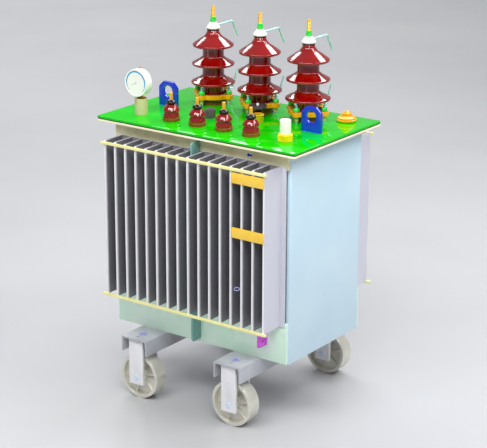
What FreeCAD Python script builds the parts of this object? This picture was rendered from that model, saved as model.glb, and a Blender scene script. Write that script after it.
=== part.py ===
"""Three-phase oil-filled distribution transformer on four rollers.

X runs along the finned walls, Y through the tank from front to back, Z up.
The origin is on the floor under the middle of the tank.
"""
import FreeCAD, Part
import Sketcher
import os
import re

SIZES = {
    # tank and its walls
    "tank_length": 828, "tank_depth": 480, "tank_height": 827,
    "panel_thickness": 5, "panel_lip": 16, "panel_lip_thickness": 4,
    "band_thickness": 10, "band_inset": 6, "top_band_height": 65, "bottom_band_height": 164,
    "sheet_thickness": 4, "sheet_inset": 14, "sheet_lap": 13,
    "fin_count": 16, "fin_pitch": 50, "fin_thickness": 8, "fin_depth": 106,
    "bar_height": 13, "bar_thickness": 8, "bar_overhang": 17, "bar_inset": 8,
    "strap_height": 40, "strap_thickness": 4, "strap_upper_drop": 20, "strap_lower_drop": 230,
    "brace_thickness": 7, "brace_depth": 48, "brace_end_gap": 14, "brace_corner": 28,
    "earth_lug_width": 48, "earth_lug_height": 52, "earth_lug_thickness": 10,
    "earth_lug_x": 311, "earth_lug_rise": 60, "earth_hole_radius": 8.5,
    # flange, gasket and cover
    "cover_overhang_x": 51, "cover_overhang_y": 55, "cover_thickness": 8, "gasket_thickness": 4,
    "flange_thickness": 8,
    "lift_lug_x": 341, "lift_lug_width": 89, "lift_lug_height": 97, "lift_lug_thickness": 12,
    "lift_hole_radius": 23, "lift_hole_rise": 58, "lift_lug_chamfer": 22,
    # rolling chassis
    "channel_width": 125, "channel_height": 64, "channel_wall": 7, "channel_length": 764,
    "channel_x": 226, "channel_hole_radius": 10, "collar_radius": 17, "collar_height": 3,
    "wheel_radius": 91, "wheel_width": 60, "wheel_y": 324, "wheel_rim": 14, "wheel_top_gap": 14,
    "wheel_web": 14, "wheel_hub_radius": 26, "wheel_hub_width": 62, "axle_radius": 12.5,
    "axle_running_gap": 0.05, "axle_proud": 2, "fork_width": 67, "fork_plate": 12,
    "fork_gap": 5, "fork_below_axle": 28,
    # high-voltage bushings
    "hv_spacing": 227, "hv_y": 142, "hv_disc_height": 15, "hv_foot_step": 4,
    "hv_foot_height": 8, "hv_body_radius": 50, "hv_core_radius": 44,
    "hv_shed_radius": 88, "hv_shed_lip": 8, "hv_shed_slope": 26, "hv_first_shed": 80,
    "hv_shed_pitch": 75, "hv_shed_count": 3, "hv_shed_taper": 3,
    "hv_neck_radius": 22, "hv_neck_height": 296,
    "hv_cap_radius": 27, "hv_cap_height": 30, "hv_stem_radius": 8, "hv_stem_height": 64,
    "hv_nut_radius": 12, "hv_nut_height": 22, "clamp_width": 21, "clamp_thickness": 17,
    "clamp_lobe_radius": 17, "clamp_stud_offset": 27, "clamp_rise": 27,
    "clamp_stud_radius": 5, "clamp_stud_length": 75, "clamp_nut_radius": 12,
    "clamp_nut_height": 15, "clamp_spacer_radius": 8, "clamp_spacer_height": 19,
    "horn_radius": 4, "horn_reach": 166, "horn_gap_low": 108, "horn_gap_high": 246,
    "horn_bend": 40,
    # low-voltage bushings
    "lv_spacing": 125.5, "lv_y": 179, "lv_disc_radius": 33, "lv_disc_height": 15,
    "lv_core_radius": 21, "lv_shed_radius": 32, "lv_shed_slope": 16, "lv_shed_lip": 4,
    "lv_shed_pitch": 21, "lv_height": 64, "lv_cap_radius": 19, "lv_cap_height": 18,
    "lv_stem_radius": 6.5, "lv_stem_height": 27,
    # thermometer in its pocket
    "thermo_x": 344, "thermo_y": 170, "pocket_radius": 26, "pocket_height": 64,
    "pocket_wall": 4, "thermo_stem_radius": 7, "dial_radius": 54, "dial_depth": 42,
    "dial_rise": 128, "dial_forward": 12, "dial_knob_radius": 7, "dial_knob_height": 12,
    # filler, relief valve, tap changer, spare pocket and boss
    "filler_x": 333, "filler_y": 163, "filler_hex_radius": 32, "filler_hex_height": 26,
    "filler_radius": 21, "filler_height": 54,
    "valve_x": 359, "valve_y": 215, "valve_radius": 39, "valve_base_height": 22,
    "valve_knob_radius": 19, "valve_knob_height": 19,
    "tap_x": 60, "tap_from_porcelain": 47, "tap_base_radius": 27, "tap_base_height": 14,
    "tap_body_radius": 20, "tap_knob_radius": 36, "tap_knob_height": 10, "tap_height": 52,
    "tap_spindle_radius": 8, "tap_running_gap": 0.05, "tap_pin_radius": 5, "tap_pin_height": 7,
    "spare_x": 95, "spare_y": 1, "spare_radius": 23, "spare_wall": 5, "spare_height": 31,
    "boss_x": 93, "boss_y": 58, "boss_radius": 22, "boss_height": 33,
}
NAMES = re.compile(r"\b(" + "|".join(sorted(SIZES, key=len, reverse=True)) + r")\b")
UP = FreeCAD.Vector(0, 0, 1)
ALONG_X = FreeCAD.Vector(1, 0, 0)
ALONG_Y = FreeCAD.Vector(0, 1, 0)
FLOOR = "(2 * wheel_radius + wheel_top_gap + channel_height)"
TOP = "(2 * wheel_radius + wheel_top_gap + channel_height + tank_height)"
COVER = "(%s + flange_thickness + gasket_thickness + cover_thickness)" % TOP
COVER_LENGTH = "(tank_length + 2 * cover_overhang_x)"
COVER_DEPTH = "(tank_depth + 2 * cover_overhang_y)"
WALL = "(tank_depth / 2)"
FIN_TIP = "(tank_depth / 2 + band_thickness + sheet_thickness + fin_depth)"
FIN_LOW = "(%s + bottom_band_height - sheet_lap)" % FLOOR
FIN_HIGH = "(%s - top_band_height + sheet_lap)" % TOP
FIN_SPAN = "((fin_count - 1) * fin_pitch)"
SIDES = (("front", -1), ("rear", 1))
ENDS = (("left", -1), ("right", 1))

doc = FreeCAD.newDocument("transformer")
sheet = doc.addObject("Spreadsheet::Sheet", "Sizes")
for row, (name, value) in enumerate(SIZES.items(), 1):
    sheet.set("A%d" % row, name)
    sheet.set("B%d" % row, str(value))
    sheet.setAlias("B%d" % row, name)
doc.recompute()
nodes = []


def bind(thing, prop, text):
    """Tie a property to an expression written with the sheet's own words."""
    thing.setExpression(prop, NAMES.sub(r"Sizes.\1", str(text)))


def put(thing, x="0", y="0", z="0", axis=None, angle=0):
    """Place an object at expressions of x, y and z, turned about an axis."""
    if axis is not None:
        thing.Placement = FreeCAD.Placement(FreeCAD.Vector(), FreeCAD.Rotation(axis, angle))
    for letter, text in zip("xyz", (x, y, z)):
        bind(thing, "Placement.Base." + letter, text)
    return thing


def box(name, centre_x, centre_y, low, length, depth, height):
    """A box given by its middle in plan, its underside and its three sizes."""
    solid = doc.addObject("Part::Box", name)
    bind(solid, "Length", length)
    bind(solid, "Width", depth)
    bind(solid, "Height", height)
    x = "(%s) - (%s) / 2" % (centre_x, length)
    y = "(%s) - (%s) / 2" % (centre_y, depth)
    return put(solid, x, y, low)


def cylinder(name, x, y, z, radius, height, axis=None, angle=0):
    """A cylinder that starts at x, y, z and rises along +Z unless it is turned."""
    solid = doc.addObject("Part::Cylinder", name)
    bind(solid, "Radius", radius)
    bind(solid, "Height", height)
    return put(solid, x, y, z, axis, angle)


def cone(name, x, y, z, low_radius, high_radius, height):
    """A cone between two radii that stands upright at x, y, z."""
    solid = doc.addObject("Part::Cone", name)
    bind(solid, "Radius1", low_radius)
    bind(solid, "Radius2", high_radius)
    bind(solid, "Height", height)
    return put(solid, x, y, z)


def prism(name, x, y, z, radius, height):
    """A six-sided prism that stands upright at x, y, z."""
    solid = doc.addObject("Part::Prism", name)
    solid.Polygon = 6
    bind(solid, "Circumradius", radius)
    bind(solid, "Height", height)
    return put(solid, x, y, z)


def fuse(name, parts):
    """Several solids in one shape: joined where they meet, apart where they don't."""
    joined = doc.addObject("Part::MultiFuse", name)
    joined.Shapes = parts
    joined.Refine = True
    return joined


def cut(name, base, tool):
    """The base with the tool taken away."""
    left = doc.addObject("Part::Cut", name)
    left.Base = base
    left.Tool = tool
    return left


def node(thing, label):
    """Keep a finished sub-part under its own label."""
    thing.Label = label
    nodes.append(thing)
    return thing


def outline(body, name, role, points):
    """A closed sketch of straight lines whose corners are locked to expressions."""
    sketch = body.newObject("Sketcher::SketchObject", name)
    plane = [item for item in body.Origin.OriginFeatures if item.Role == role][0]
    sketch.AttachmentSupport = [(plane, "")]
    sketch.MapMode = "FlatFace"
    count = len(points)
    for index in range(count):
        start = FreeCAD.Vector(index, index * index, 0)
        after = (index + 1) % count
        sketch.addGeometry(Part.LineSegment(start, FreeCAD.Vector(after, after * after, 0)))
    for index in range(count):
        sketch.addConstraint(Sketcher.Constraint("Coincident", index, 2, (index + 1) % count, 1))
    for index, corner in enumerate(points):
        for kind, start, text in zip(("DistanceX", "DistanceY"), (index, index * index), corner):
            number = sketch.addConstraint(Sketcher.Constraint(kind, index, 1, start))
            bind(sketch, "Constraints[%d]" % number, text)
    return sketch


def pad(name, role, points, length):
    """A body padded equally to both sides of one of its origin planes."""
    body = doc.addObject("PartDesign::Body", name)
    feature = body.newObject("PartDesign::Pad", name + "_pad")
    feature.Profile = outline(body, name + "_outline", role, points)
    feature.SideType = "Symmetric"
    bind(feature, "Length", length)
    return body


def revolve(name, points):
    """A body turned about its own Y axis; each corner is (along Y, radius)."""
    body = doc.addObject("PartDesign::Body", name)
    sketch = outline(body, name + "_outline", "YZ_Plane", points)
    feature = body.newObject("PartDesign::Revolution", name + "_turn")
    feature.Profile = sketch
    feature.ReferenceAxis = (sketch, ["H_Axis"])
    feature.Angle = 360
    return body


def tank():
    """The closed tank, and the bent plates that close its two ends."""
    lip_room = "tank_length - 2 * panel_lip"
    plain_depth = "tank_depth - 2 * panel_lip_thickness"
    shell = box("tank_shell", "0", "0", FLOOR, "tank_length - 2 * panel_thickness",
                plain_depth, "tank_height")
    walls = box("tank_walls", "0", "0", FLOOR, lip_room, "tank_depth",
                "tank_height")
    swell = box("tank_swell", "0", "0", FLOOR + " + bottom_band_height", lip_room,
                "tank_depth + 2 * band_thickness",
                "tank_height - top_band_height - bottom_band_height")
    node(fuse("tank_solid", [shell, walls, swell]), "tank_body")
    for word, sign in ENDS:
        centre = "%d * (tank_length - panel_lip) / 2" % sign
        block = box("panel_block_" + word, centre, "0", FLOOR, "panel_lip",
                    "tank_depth", "tank_height")
        inside = box("panel_inside_" + word,
                     "%d * (tank_length - panel_lip - 2 * panel_thickness) / 2" % sign,
                     "0", FLOOR, "panel_lip", plain_depth, "tank_height")
        node(cut("panel_" + word, block, inside), "end_panel_" + word)


def long_sides():
    """On both long sides: two bands, the corrugated wall, its bars and the brace."""
    high_bands, low_bands, bars, braces = [], [], [], []
    for word, sign in SIDES:
        band_y = "%d * (tank_depth + band_thickness) / 2" % sign
        band_length = "tank_length - 2 * band_inset"
        high_bands.append(box("band_high_" + word, "0", band_y, TOP + " - top_band_height",
                              band_length, "band_thickness", "top_band_height"))
        low_bands.append(box("band_low_" + word, "0", band_y, FLOOR, band_length,
                             "band_thickness", "bottom_band_height"))
        corrugated_wall(word, sign)
        bars.extend(fin_bars(word, sign))
        braces.append(brace(word, sign))
    node(fuse("high_bands", high_bands), "top_bands")
    node(fuse("low_bands", low_bands), "bottom_bands")
    node(fuse("bars", bars), "fin_bars")
    node(fuse("braces", braces), "centre_braces")


def corrugated_wall(word, sign):
    """A thin sheet with a row of flat hollow fins that stand out from it."""
    sheet_y = "%d * ((tank_depth + sheet_thickness) / 2 + band_thickness)" % sign
    pieces = [box("wall_sheet_" + word, "0", sheet_y, FIN_LOW, "tank_length - 2 * sheet_inset",
                  "sheet_thickness", FIN_HIGH + " - " + FIN_LOW)]
    fin_y = "%d * ((tank_depth + fin_depth) / 2 + band_thickness + sheet_thickness)" % sign
    for number in range(SIZES["fin_count"]):
        fin_x = "%d * fin_pitch - %s / 2" % (number, FIN_SPAN)
        pieces.append(box("fin_%s_%d" % (word, number + 1), fin_x, fin_y, FIN_LOW,
                          "fin_thickness", "fin_depth", FIN_HIGH + " - " + FIN_LOW))
    node(fuse("wall_" + word, pieces), "corrugated_wall_" + word)


def fin_bars(word, sign):
    """The two bars that tie the fins' outer edges together near their ends."""
    bar_y = "%d * (%s + bar_thickness / 2)" % (sign, FIN_TIP)
    bar_length = FIN_SPAN + " + fin_thickness + 2 * bar_overhang"
    high = box("bar_high_" + word, "0", bar_y, FIN_HIGH + " - bar_inset - bar_height / 2",
               bar_length, "bar_thickness", "bar_height")
    low = box("bar_low_" + word, "0", bar_y, FIN_LOW + " - bar_height / 2",
              bar_length, "bar_thickness", "bar_height")
    return [high, low]


def brace(word, sign):
    """The upright plate between the middle fins, stepped over the wall's edges."""
    back = "%d * (%s + band_thickness)" % (sign, WALL)
    wall = "%d * (%s + band_thickness + sheet_thickness)" % (sign, WALL)
    edge = "%d * (%s + band_thickness + sheet_thickness + brace_depth)" % (sign, WALL)
    shy = "%s - %d * brace_corner" % (edge, sign)
    foot = "(%s + brace_end_gap)" % FLOOR
    head = "(%s - brace_end_gap)" % TOP
    points = [(back, foot), (shy, foot), (edge, foot + " + brace_corner"),
              (edge, head + " - brace_corner"), (shy, head), (back, head),
              (back, FIN_HIGH), (wall, FIN_HIGH), (wall, FIN_LOW), (back, FIN_LOW)]
    return pad("brace_" + word, "YZ_Plane", points, "brace_thickness")


def front_fittings():
    """The two straps for a plate across the last fins, and the earthing lug."""
    first = "(%s / 2 - 3 * fin_pitch)" % FIN_SPAN
    last = "(%s / 2 + fin_thickness / 2)" % FIN_SPAN
    straps = []
    for word in ("upper", "lower"):
        low = "%s - strap_%s_drop - strap_height" % (FIN_HIGH, word)
        straps.append(box("strap_" + word, "(%s + %s) / 2" % (first, last),
                          "-%s - strap_thickness / 2" % FIN_TIP, low,
                          "%s - %s" % (last, first), "strap_thickness", "strap_height"))
    node(fuse("straps", straps), "nameplate_straps")
    face = "(%s + band_thickness)" % WALL
    plate = box("lug_plate", "earth_lug_x", "-%s - earth_lug_width / 2" % face,
                FLOOR + " + earth_lug_rise", "earth_lug_thickness", "earth_lug_width",
                "earth_lug_height")
    hole = cylinder("lug_hole", "earth_lug_x - earth_lug_thickness",
                    "-%s - earth_lug_width / 2" % face,
                    FLOOR + " + earth_lug_rise + earth_lug_height / 2",
                    "earth_hole_radius", "2 * earth_lug_thickness", ALONG_Y, 90)
    node(cut("lug", plate, hole), "earth_lug")


def cover():
    """The flange around the tank's mouth, the gasket, the cover and its lifting lugs."""
    node(box("flange", "0", "0", TOP, COVER_LENGTH, COVER_DEPTH,
             "flange_thickness"), "tank_flange")
    node(box("gasket", "0", "0", TOP + " + flange_thickness", COVER_LENGTH, COVER_DEPTH,
             "gasket_thickness"), "cover_gasket")
    node(box("lid", "0", "0", TOP + " + flange_thickness + gasket_thickness",
             COVER_LENGTH, COVER_DEPTH, "cover_thickness"), "cover_plate")
    half = "lift_lug_width / 2"
    points = [("-" + half, "0"), (half, "0"), (half, "lift_lug_height - lift_lug_chamfer"),
              (half + " - lift_lug_chamfer", "lift_lug_height"),
              ("lift_lug_chamfer - " + half, "lift_lug_height"),
              ("-" + half, "lift_lug_height - lift_lug_chamfer")]
    lugs = []
    for word, sign in ENDS:
        plate = pad("lift_plate_" + word, "XZ_Plane", points, "lift_lug_thickness")
        put(plate, "%d * lift_lug_x" % sign, "0", COVER)
        hole = cylinder("lift_hole_" + word, "%d * lift_lug_x" % sign, "lift_lug_thickness",
                        COVER + " + lift_hole_rise", "lift_hole_radius",
                        "2 * lift_lug_thickness", ALONG_X, 90)
        lugs.append(cut("lift_" + word, plate, hole))
    node(fuse("lift_lugs", lugs), "lifting_lugs")


def chassis():
    """Two channels, open downwards, with a fork, an axle and a roller at each end."""
    half = "channel_width / 2"
    inner = half + " - channel_wall"
    drop = "-channel_height"
    points = [("-" + half, drop), ("channel_wall - " + half, drop),
              ("channel_wall - " + half, "-channel_wall"), (inner, "-channel_wall"),
              (inner, drop), (half, drop), (half, "0"), ("-" + half, "0")]
    for word, sign in ENDS:
        centre = "%d * channel_x" % sign
        channel = pad("channel_bar_" + word, "XZ_Plane", points, "channel_length")
        put(channel, centre, "0", FLOOR)
        holes = []
        for place, way in SIDES:
            holes.append(cylinder("channel_hole_%s_%s" % (word, place), centre,
                                  "%d * wheel_y" % way, FLOOR + " - 2 * channel_wall",
                                  "channel_hole_radius", "3 * channel_wall"))
        drilled = cut("channel_" + word, channel, fuse("channel_holes_" + word, holes))
        node(drilled, "chassis_channel_" + word)
    forks, axles, collars = [], [], []
    for word, sign in ENDS:
        for place, way in SIDES:
            spot = "%s_%s" % (place, word)
            x = "%d * channel_x" % sign
            y = "%d * wheel_y" % way
            forks.append(fork(spot, x, y))
            axles.append(cylinder("axle_" + spot, x, "%s + %s / 2" % (y, AXLE_LENGTH),
                                  "wheel_radius", "axle_radius", AXLE_LENGTH, ALONG_X, 90))
            ring = cylinder("collar_ring_" + spot, x, y, FLOOR, "collar_radius",
                            "collar_height")
            bore = cylinder("collar_bore_" + spot, x, y, FLOOR + " - collar_height",
                            "channel_hole_radius", "3 * collar_height")
            collars.append(cut("collar_" + spot, ring, bore))
            node(put(wheel(spot), x, y, "wheel_radius"), "roller_" + spot)
    node(fuse("forks", forks), "roller_forks")
    node(fuse("axles", axles), "roller_axles")
    node(fuse("collars", collars), "pivot_collars")


FORK_INSIDE = "(wheel_hub_width + 2 * fork_gap)"
AXLE_LENGTH = "(wheel_hub_width + 2 * fork_gap + 2 * fork_plate + 2 * axle_proud)"


def fork(spot, x, y):
    """A bent plate that hangs under the channel and holds both ends of an axle."""
    head = "(%s - channel_wall)" % FLOOR
    foot = "(wheel_radius - fork_below_axle)"
    near = FORK_INSIDE + " / 2"
    far = "(%s / 2 + fork_plate)" % FORK_INSIDE
    under = head + " - fork_plate"
    points = [("-" + far, foot), ("-" + near, foot), ("-" + near, under), (near, under),
              (near, foot), (far, foot), (far, head), ("-" + far, head)]
    plates = put(pad("fork_plates_" + spot, "YZ_Plane", points, "fork_width"), x, y)
    bore = cylinder("fork_bore_" + spot, x, "%s + %s" % (y, AXLE_LENGTH), "wheel_radius",
                    "axle_radius + axle_running_gap", "2 * " + AXLE_LENGTH, ALONG_X, 90)
    pivot = cylinder("fork_pivot_" + spot, x, y, head + " - 2 * fork_plate",
                     "channel_hole_radius", "3 * fork_plate")
    return cut("fork_" + spot, plates, fuse("fork_holes_" + spot, [bore, pivot]))


def wheel(spot):
    """A cast roller: tread ring, thin web and hub bored for the axle."""
    bore = "axle_radius + axle_running_gap"
    tread = "wheel_radius"
    inner = "wheel_radius - wheel_rim"
    half_hub = "wheel_hub_width / 2"
    half_rim = "wheel_width / 2"
    half_web = "wheel_web / 2"
    right = [(half_hub, bore), (half_hub, "wheel_hub_radius"), (half_web, "wheel_hub_radius"),
             (half_web, inner), (half_rim, inner), (half_rim, tread)]
    left = [("-" + along, radius) for along, radius in reversed(right)]
    return revolve("wheel_" + spot, right + left)


HV_FOOT = "(hv_body_radius + hv_foot_step)"
CLAMP_RADIUS = "(hv_body_radius + clamp_width)"
QUARTERS = ((1, 0), (-1, 0), (0, 1), (0, -1))


def hv_bushings():
    """Three ribbed porcelain bushings with clamp rings, terminals and arcing horns."""
    discs, rings, bolts, caps, stems, horns = [], [], [], [], [], []
    for number in range(3):
        tag = str(number + 1)
        x = "%d * hv_spacing" % (number - 1)
        y = "hv_y"
        discs.append(cylinder("hv_disc_" + tag, x, y, COVER, HV_FOOT,
                              "hv_disc_height"))
        foot = COVER + " + hv_disc_height"
        body = [cylinder("hv_foot_" + tag, x, y, foot, HV_FOOT, "hv_foot_height"),
                cylinder("hv_base_" + tag, x, y, foot, "hv_body_radius",
                         "hv_first_shed - hv_disc_height"),
                cylinder("hv_core_" + tag, x, y, foot, "hv_core_radius",
                         "hv_first_shed + (hv_shed_count - 1) * hv_shed_pitch"
                         " + hv_shed_lip - hv_disc_height"),
                cylinder("hv_neck_" + tag, x, y, foot, "hv_neck_radius",
                         "hv_neck_height - hv_disc_height")]
        for shed in range(SIZES["hv_shed_count"]):
            low = "%s + hv_first_shed + %d * hv_shed_pitch" % (COVER, shed)
            name = "hv_shed_%s_%d" % (tag, shed + 1)
            reach = "hv_shed_radius - %d * hv_shed_taper" % shed
            body.append(cylinder(name + "_lip", x, y, low, reach, "hv_shed_lip"))
            top = "hv_core_radius"
            if shed == SIZES["hv_shed_count"] - 1:
                top = "hv_neck_radius"
            body.append(cone(name, x, y, low + " + hv_shed_lip", reach, top,
                             "hv_shed_slope"))
        node(fuse("hv_body_" + tag, body), "hv_porcelain_" + tag)
        rings.append(clamp_ring(tag, x, y))
        for way_x, way_y in QUARTERS:
            bolts.append(clamp_bolt(tag, x, y, way_x, way_y))
        top = COVER + " + hv_neck_height"
        caps.append(cylinder("hv_cap_" + tag, x, y, top, "hv_cap_radius", "hv_cap_height"))
        above = top + " + hv_cap_height"
        stem = cylinder("hv_stem_" + tag, x, y, above, "hv_stem_radius", "hv_stem_height")
        nut = prism("hv_nut_" + tag, x, y, above, "hv_nut_radius", "hv_nut_height")
        stems.append(fuse("hv_terminal_" + tag, [stem, nut]))
        horns.extend(arcing_horns(tag, x))
    node(fuse("hv_rings", rings), "hv_clamp_rings")
    node(fuse("hv_bolts", bolts), "hv_clamp_bolts")
    node(fuse("hv_caps", caps), "hv_terminal_caps")
    node(fuse("hv_stems", stems), "hv_terminals")
    node(fuse("hv_horns", horns), "arcing_horns")
    return discs


def clamp_ring(tag, x, y):
    """A cast ring with four lobes that holds the porcelain's foot down."""
    low = COVER + " + clamp_rise"
    parts = [cylinder("clamp_disc_" + tag, x, y, low, CLAMP_RADIUS, "clamp_thickness")]
    for way_x, way_y in QUARTERS:
        lobe_x, lobe_y = stud_place(x, y, way_x, way_y)
        parts.append(cylinder("clamp_lobe_%s_%d_%d" % (tag, way_x + 1, way_y + 1), lobe_x,
                              lobe_y, low, "clamp_lobe_radius", "clamp_thickness"))
    solid = fuse("clamp_solid_" + tag, parts)
    holes = [cylinder("clamp_bore_" + tag, x, y, COVER, "hv_body_radius",
                      "clamp_rise + 2 * clamp_thickness")]
    for way_x, way_y in QUARTERS:
        hole_x, hole_y = stud_place(x, y, way_x, way_y)
        holes.append(cylinder("clamp_hole_%s_%d_%d" % (tag, way_x + 1, way_y + 1), hole_x,
                              hole_y, COVER, "clamp_stud_radius",
                              "clamp_rise + 2 * clamp_thickness"))
    return cut("clamp_ring_" + tag, solid, fuse("clamp_holes_" + tag, holes))


def stud_place(x, y, way_x, way_y):
    """Where one of the four studs stands, along the axes of its bushing."""
    along = "(hv_body_radius + clamp_stud_offset)"
    return "%s + %d * %s" % (x, way_x, along), "%s + %d * %s" % (y, way_y, along)


def clamp_bolt(tag, x, y, way_x, way_y):
    """A stud from the cover through a lobe, with a spacer under it and a nut on top."""
    stud_x, stud_y = stud_place(x, y, way_x, way_y)
    name = "stud_%s_%d_%d" % (tag, way_x + 1, way_y + 1)
    parts = [cylinder(name, stud_x, stud_y, COVER, "clamp_stud_radius", "clamp_stud_length"),
             cylinder(name + "_spacer", stud_x, stud_y,
                      COVER + " + clamp_rise - clamp_spacer_height", "clamp_spacer_radius",
                      "clamp_spacer_height"),
             prism(name + "_nut", stud_x, stud_y, COVER + " + clamp_rise + clamp_thickness",
                   "clamp_nut_radius", "clamp_nut_height")]
    return fuse(name + "_bolt", parts)


def arcing_horns(tag, x):
    """The two bent rods behind a bushing, one from its cap and one from its clamp."""
    sizes = {name: sheet.get(name) for name in SIZES}
    radius = sizes["horn_radius"]
    cover = 2 * sizes["wheel_radius"]
    cover += sum(sizes[name] for name in ("wheel_top_gap", "channel_height", "tank_height",
                                          "flange_thickness", "gasket_thickness",
                                          "cover_thickness"))
    middle = sizes["hv_y"]
    tip = middle + sizes["horn_reach"]
    knee = tip - sizes["horn_bend"]
    high = cover + sizes["hv_neck_height"] + sizes["hv_cap_height"] / 2
    low = cover + sizes["clamp_rise"] + sizes["clamp_thickness"] / 2
    start = middle + sizes["hv_body_radius"] + sizes["clamp_stud_offset"]
    start += sizes["clamp_lobe_radius"]
    upper = [(middle + sizes["hv_cap_radius"], high), (knee, high),
             (tip, cover + sizes["horn_gap_high"])]
    lower = [(start, low), (knee, low),
             (tip, cover + sizes["horn_gap_low"])]
    rods = []
    for word, route in (("upper", upper), ("lower", lower)):
        points = [FreeCAD.Vector(0, y, z) for y, z in route]
        shape = Part.makeCylinder(radius, (points[1] - points[0]).Length, points[0],
                                  points[1] - points[0])
        shape = shape.fuse([Part.makeSphere(radius, points[1]),
                            Part.makeCylinder(radius, (points[2] - points[1]).Length,
                                              points[1], points[2] - points[1])])
        rod = doc.addObject("Part::Feature", "horn_%s_%s" % (word, tag))
        rod.Shape = shape.removeSplitter()
        rods.append(put(rod, x))
    return rods


def lv_bushings():
    """Four small two-shed bushings in a row near the front of the cover."""
    discs, bodies, caps, stems = [], [], [], []
    for number in range(4):
        tag = str(number + 1)
        x = "(%d / 2) * lv_spacing" % (2 * number - 3)
        y = "-lv_y"
        discs.append(cylinder("lv_disc_" + tag, x, y, COVER, "lv_disc_radius",
                              "lv_disc_height"))
        foot = COVER + " + lv_disc_height"
        parts = [cylinder("lv_core_" + tag, x, y, foot, "lv_core_radius",
                          "lv_height - lv_disc_height")]
        for shed in range(2):
            low = "%s + %d * lv_shed_pitch" % (foot, shed)
            name = "lv_shed_%s_%d" % (tag, shed + 1)
            parts.append(cylinder(name + "_lip", x, y, low, "lv_shed_radius", "lv_shed_lip"))
            parts.append(cone(name, x, y, low + " + lv_shed_lip", "lv_shed_radius",
                              "lv_core_radius", "lv_shed_slope"))
        bodies.append(fuse("lv_body_" + tag, parts))
        top = COVER + " + lv_height"
        caps.append(cylinder("lv_cap_" + tag, x, y, top, "lv_cap_radius", "lv_cap_height"))
        stems.append(cylinder("lv_stem_" + tag, x, y, top + " + lv_cap_height",
                              "lv_stem_radius", "lv_stem_height"))
    node(fuse("lv_bodies", bodies), "lv_porcelain")
    node(fuse("lv_caps", caps), "lv_terminal_caps")
    node(fuse("lv_stems", stems), "lv_terminals")
    return discs


def thermometer():
    """A dial thermometer standing in an open pocket on the cover."""
    x = "-thermo_x"
    y = "-thermo_y"
    wall = cylinder("pocket_wall_solid", x, y, COVER, "pocket_radius", "pocket_height")
    inside = cylinder("pocket_inside", x, y, COVER + " + pocket_wall",
                      "pocket_radius - pocket_wall", "pocket_height")
    node(cut("thermo_pocket", wall, inside), "thermometer_pocket")
    middle = COVER + " + dial_rise"
    stem = cylinder("thermo_stem", x, y, COVER + " + pocket_wall", "thermo_stem_radius",
                    "dial_rise - dial_radius / 2 - pocket_wall")
    case = cylinder("thermo_case", x, y + " - dial_forward + dial_depth / 2", middle,
                    "dial_radius", "dial_depth", ALONG_X, 90)
    knob = cylinder("thermo_knob", x, y, middle + " + dial_radius - 1", "dial_knob_radius",
                    "dial_knob_height + 1")
    node(fuse("thermo", [stem, case, knob]), "dial_thermometer")


def small_fittings():
    """Filler tube, relief valve, spare pocket, boss and the tap changer."""
    x, y = "filler_x", "-filler_y"
    node(prism("filler_hex", x, y, COVER, "filler_hex_radius", "filler_hex_height"),
         "filler_base")
    node(cylinder("filler_pipe", x, y, COVER + " + filler_hex_height", "filler_radius",
                  "filler_height"), "filler_tube")
    x, y = "valve_x", "valve_y"
    disc = cylinder("valve_disc", x, y, COVER, "valve_radius", "valve_base_height")
    knob = cylinder("valve_knob", x, y, COVER + " + valve_base_height", "valve_knob_radius",
                    "valve_knob_height")
    node(fuse("valve", [disc, knob]), "relief_valve")
    x, y = "spare_x", "-spare_y"
    wall = cylinder("spare_solid", x, y, COVER, "spare_radius", "spare_height")
    inside = cylinder("spare_inside", x, y, COVER + " + spare_wall",
                      "spare_radius - spare_wall", "spare_height")
    node(cut("spare", wall, inside), "spare_pocket")
    node(cylinder("boss", "-boss_x", "-boss_y", COVER, "boss_radius", "boss_height"),
         "blank_boss")
    x, y = "tap_x", "hv_y - hv_body_radius - tap_from_porcelain"
    base = cylinder("tap_flange", x, y, COVER, "tap_base_radius", "tap_base_height")
    bush = cylinder("tap_bush", x, y, COVER, "tap_body_radius",
                    "tap_height - 2 * tap_knob_height")
    bore = cylinder("tap_bore", x, y, COVER + " + tap_base_height / 2",
                    "tap_spindle_radius + tap_running_gap", "tap_height")
    node(cut("tap_base", fuse("tap_body", [base, bush]), bore), "tap_changer_base")
    spindle = cylinder("tap_spindle", x, y, COVER + " + tap_base_height", "tap_spindle_radius",
                       "tap_height - tap_base_height")
    disc = cylinder("tap_disc", x, y, COVER + " + tap_height - tap_knob_height",
                    "tap_knob_radius", "tap_knob_height")
    pin = cylinder("tap_pin", x, y, COVER + " + tap_height", "tap_pin_radius",
                   "tap_pin_height")
    node(fuse("tap_top", [spindle, disc, pin]), "tap_changer_knob")


tank()
long_sides()
front_fittings()
cover()
chassis()
base_discs = hv_bushings() + lv_bushings()
node(fuse("base_discs", base_discs), "bushing_base_discs")
thermometer()
small_fittings()
doc.recompute()

for thing in doc.Objects:
    if "Invalid" in thing.State or "Error" in thing.State:
        raise SystemExit("%s failed: %s" % (thing.Name, thing.State))
for thing in nodes:
    if thing.Shape.isNull() or not thing.Shape.isValid() or not thing.Shape.Solids:
        raise SystemExit("%s has no valid solid" % thing.Label)
os.makedirs("parts", exist_ok=True)
for thing in nodes:
    thing.Shape.exportStep(os.path.join("parts", thing.Label + ".step"))
print("%d nodes written" % len(nodes))
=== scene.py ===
import math
import bpy
import bmesh
from mathutils import Matrix, Vector


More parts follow.
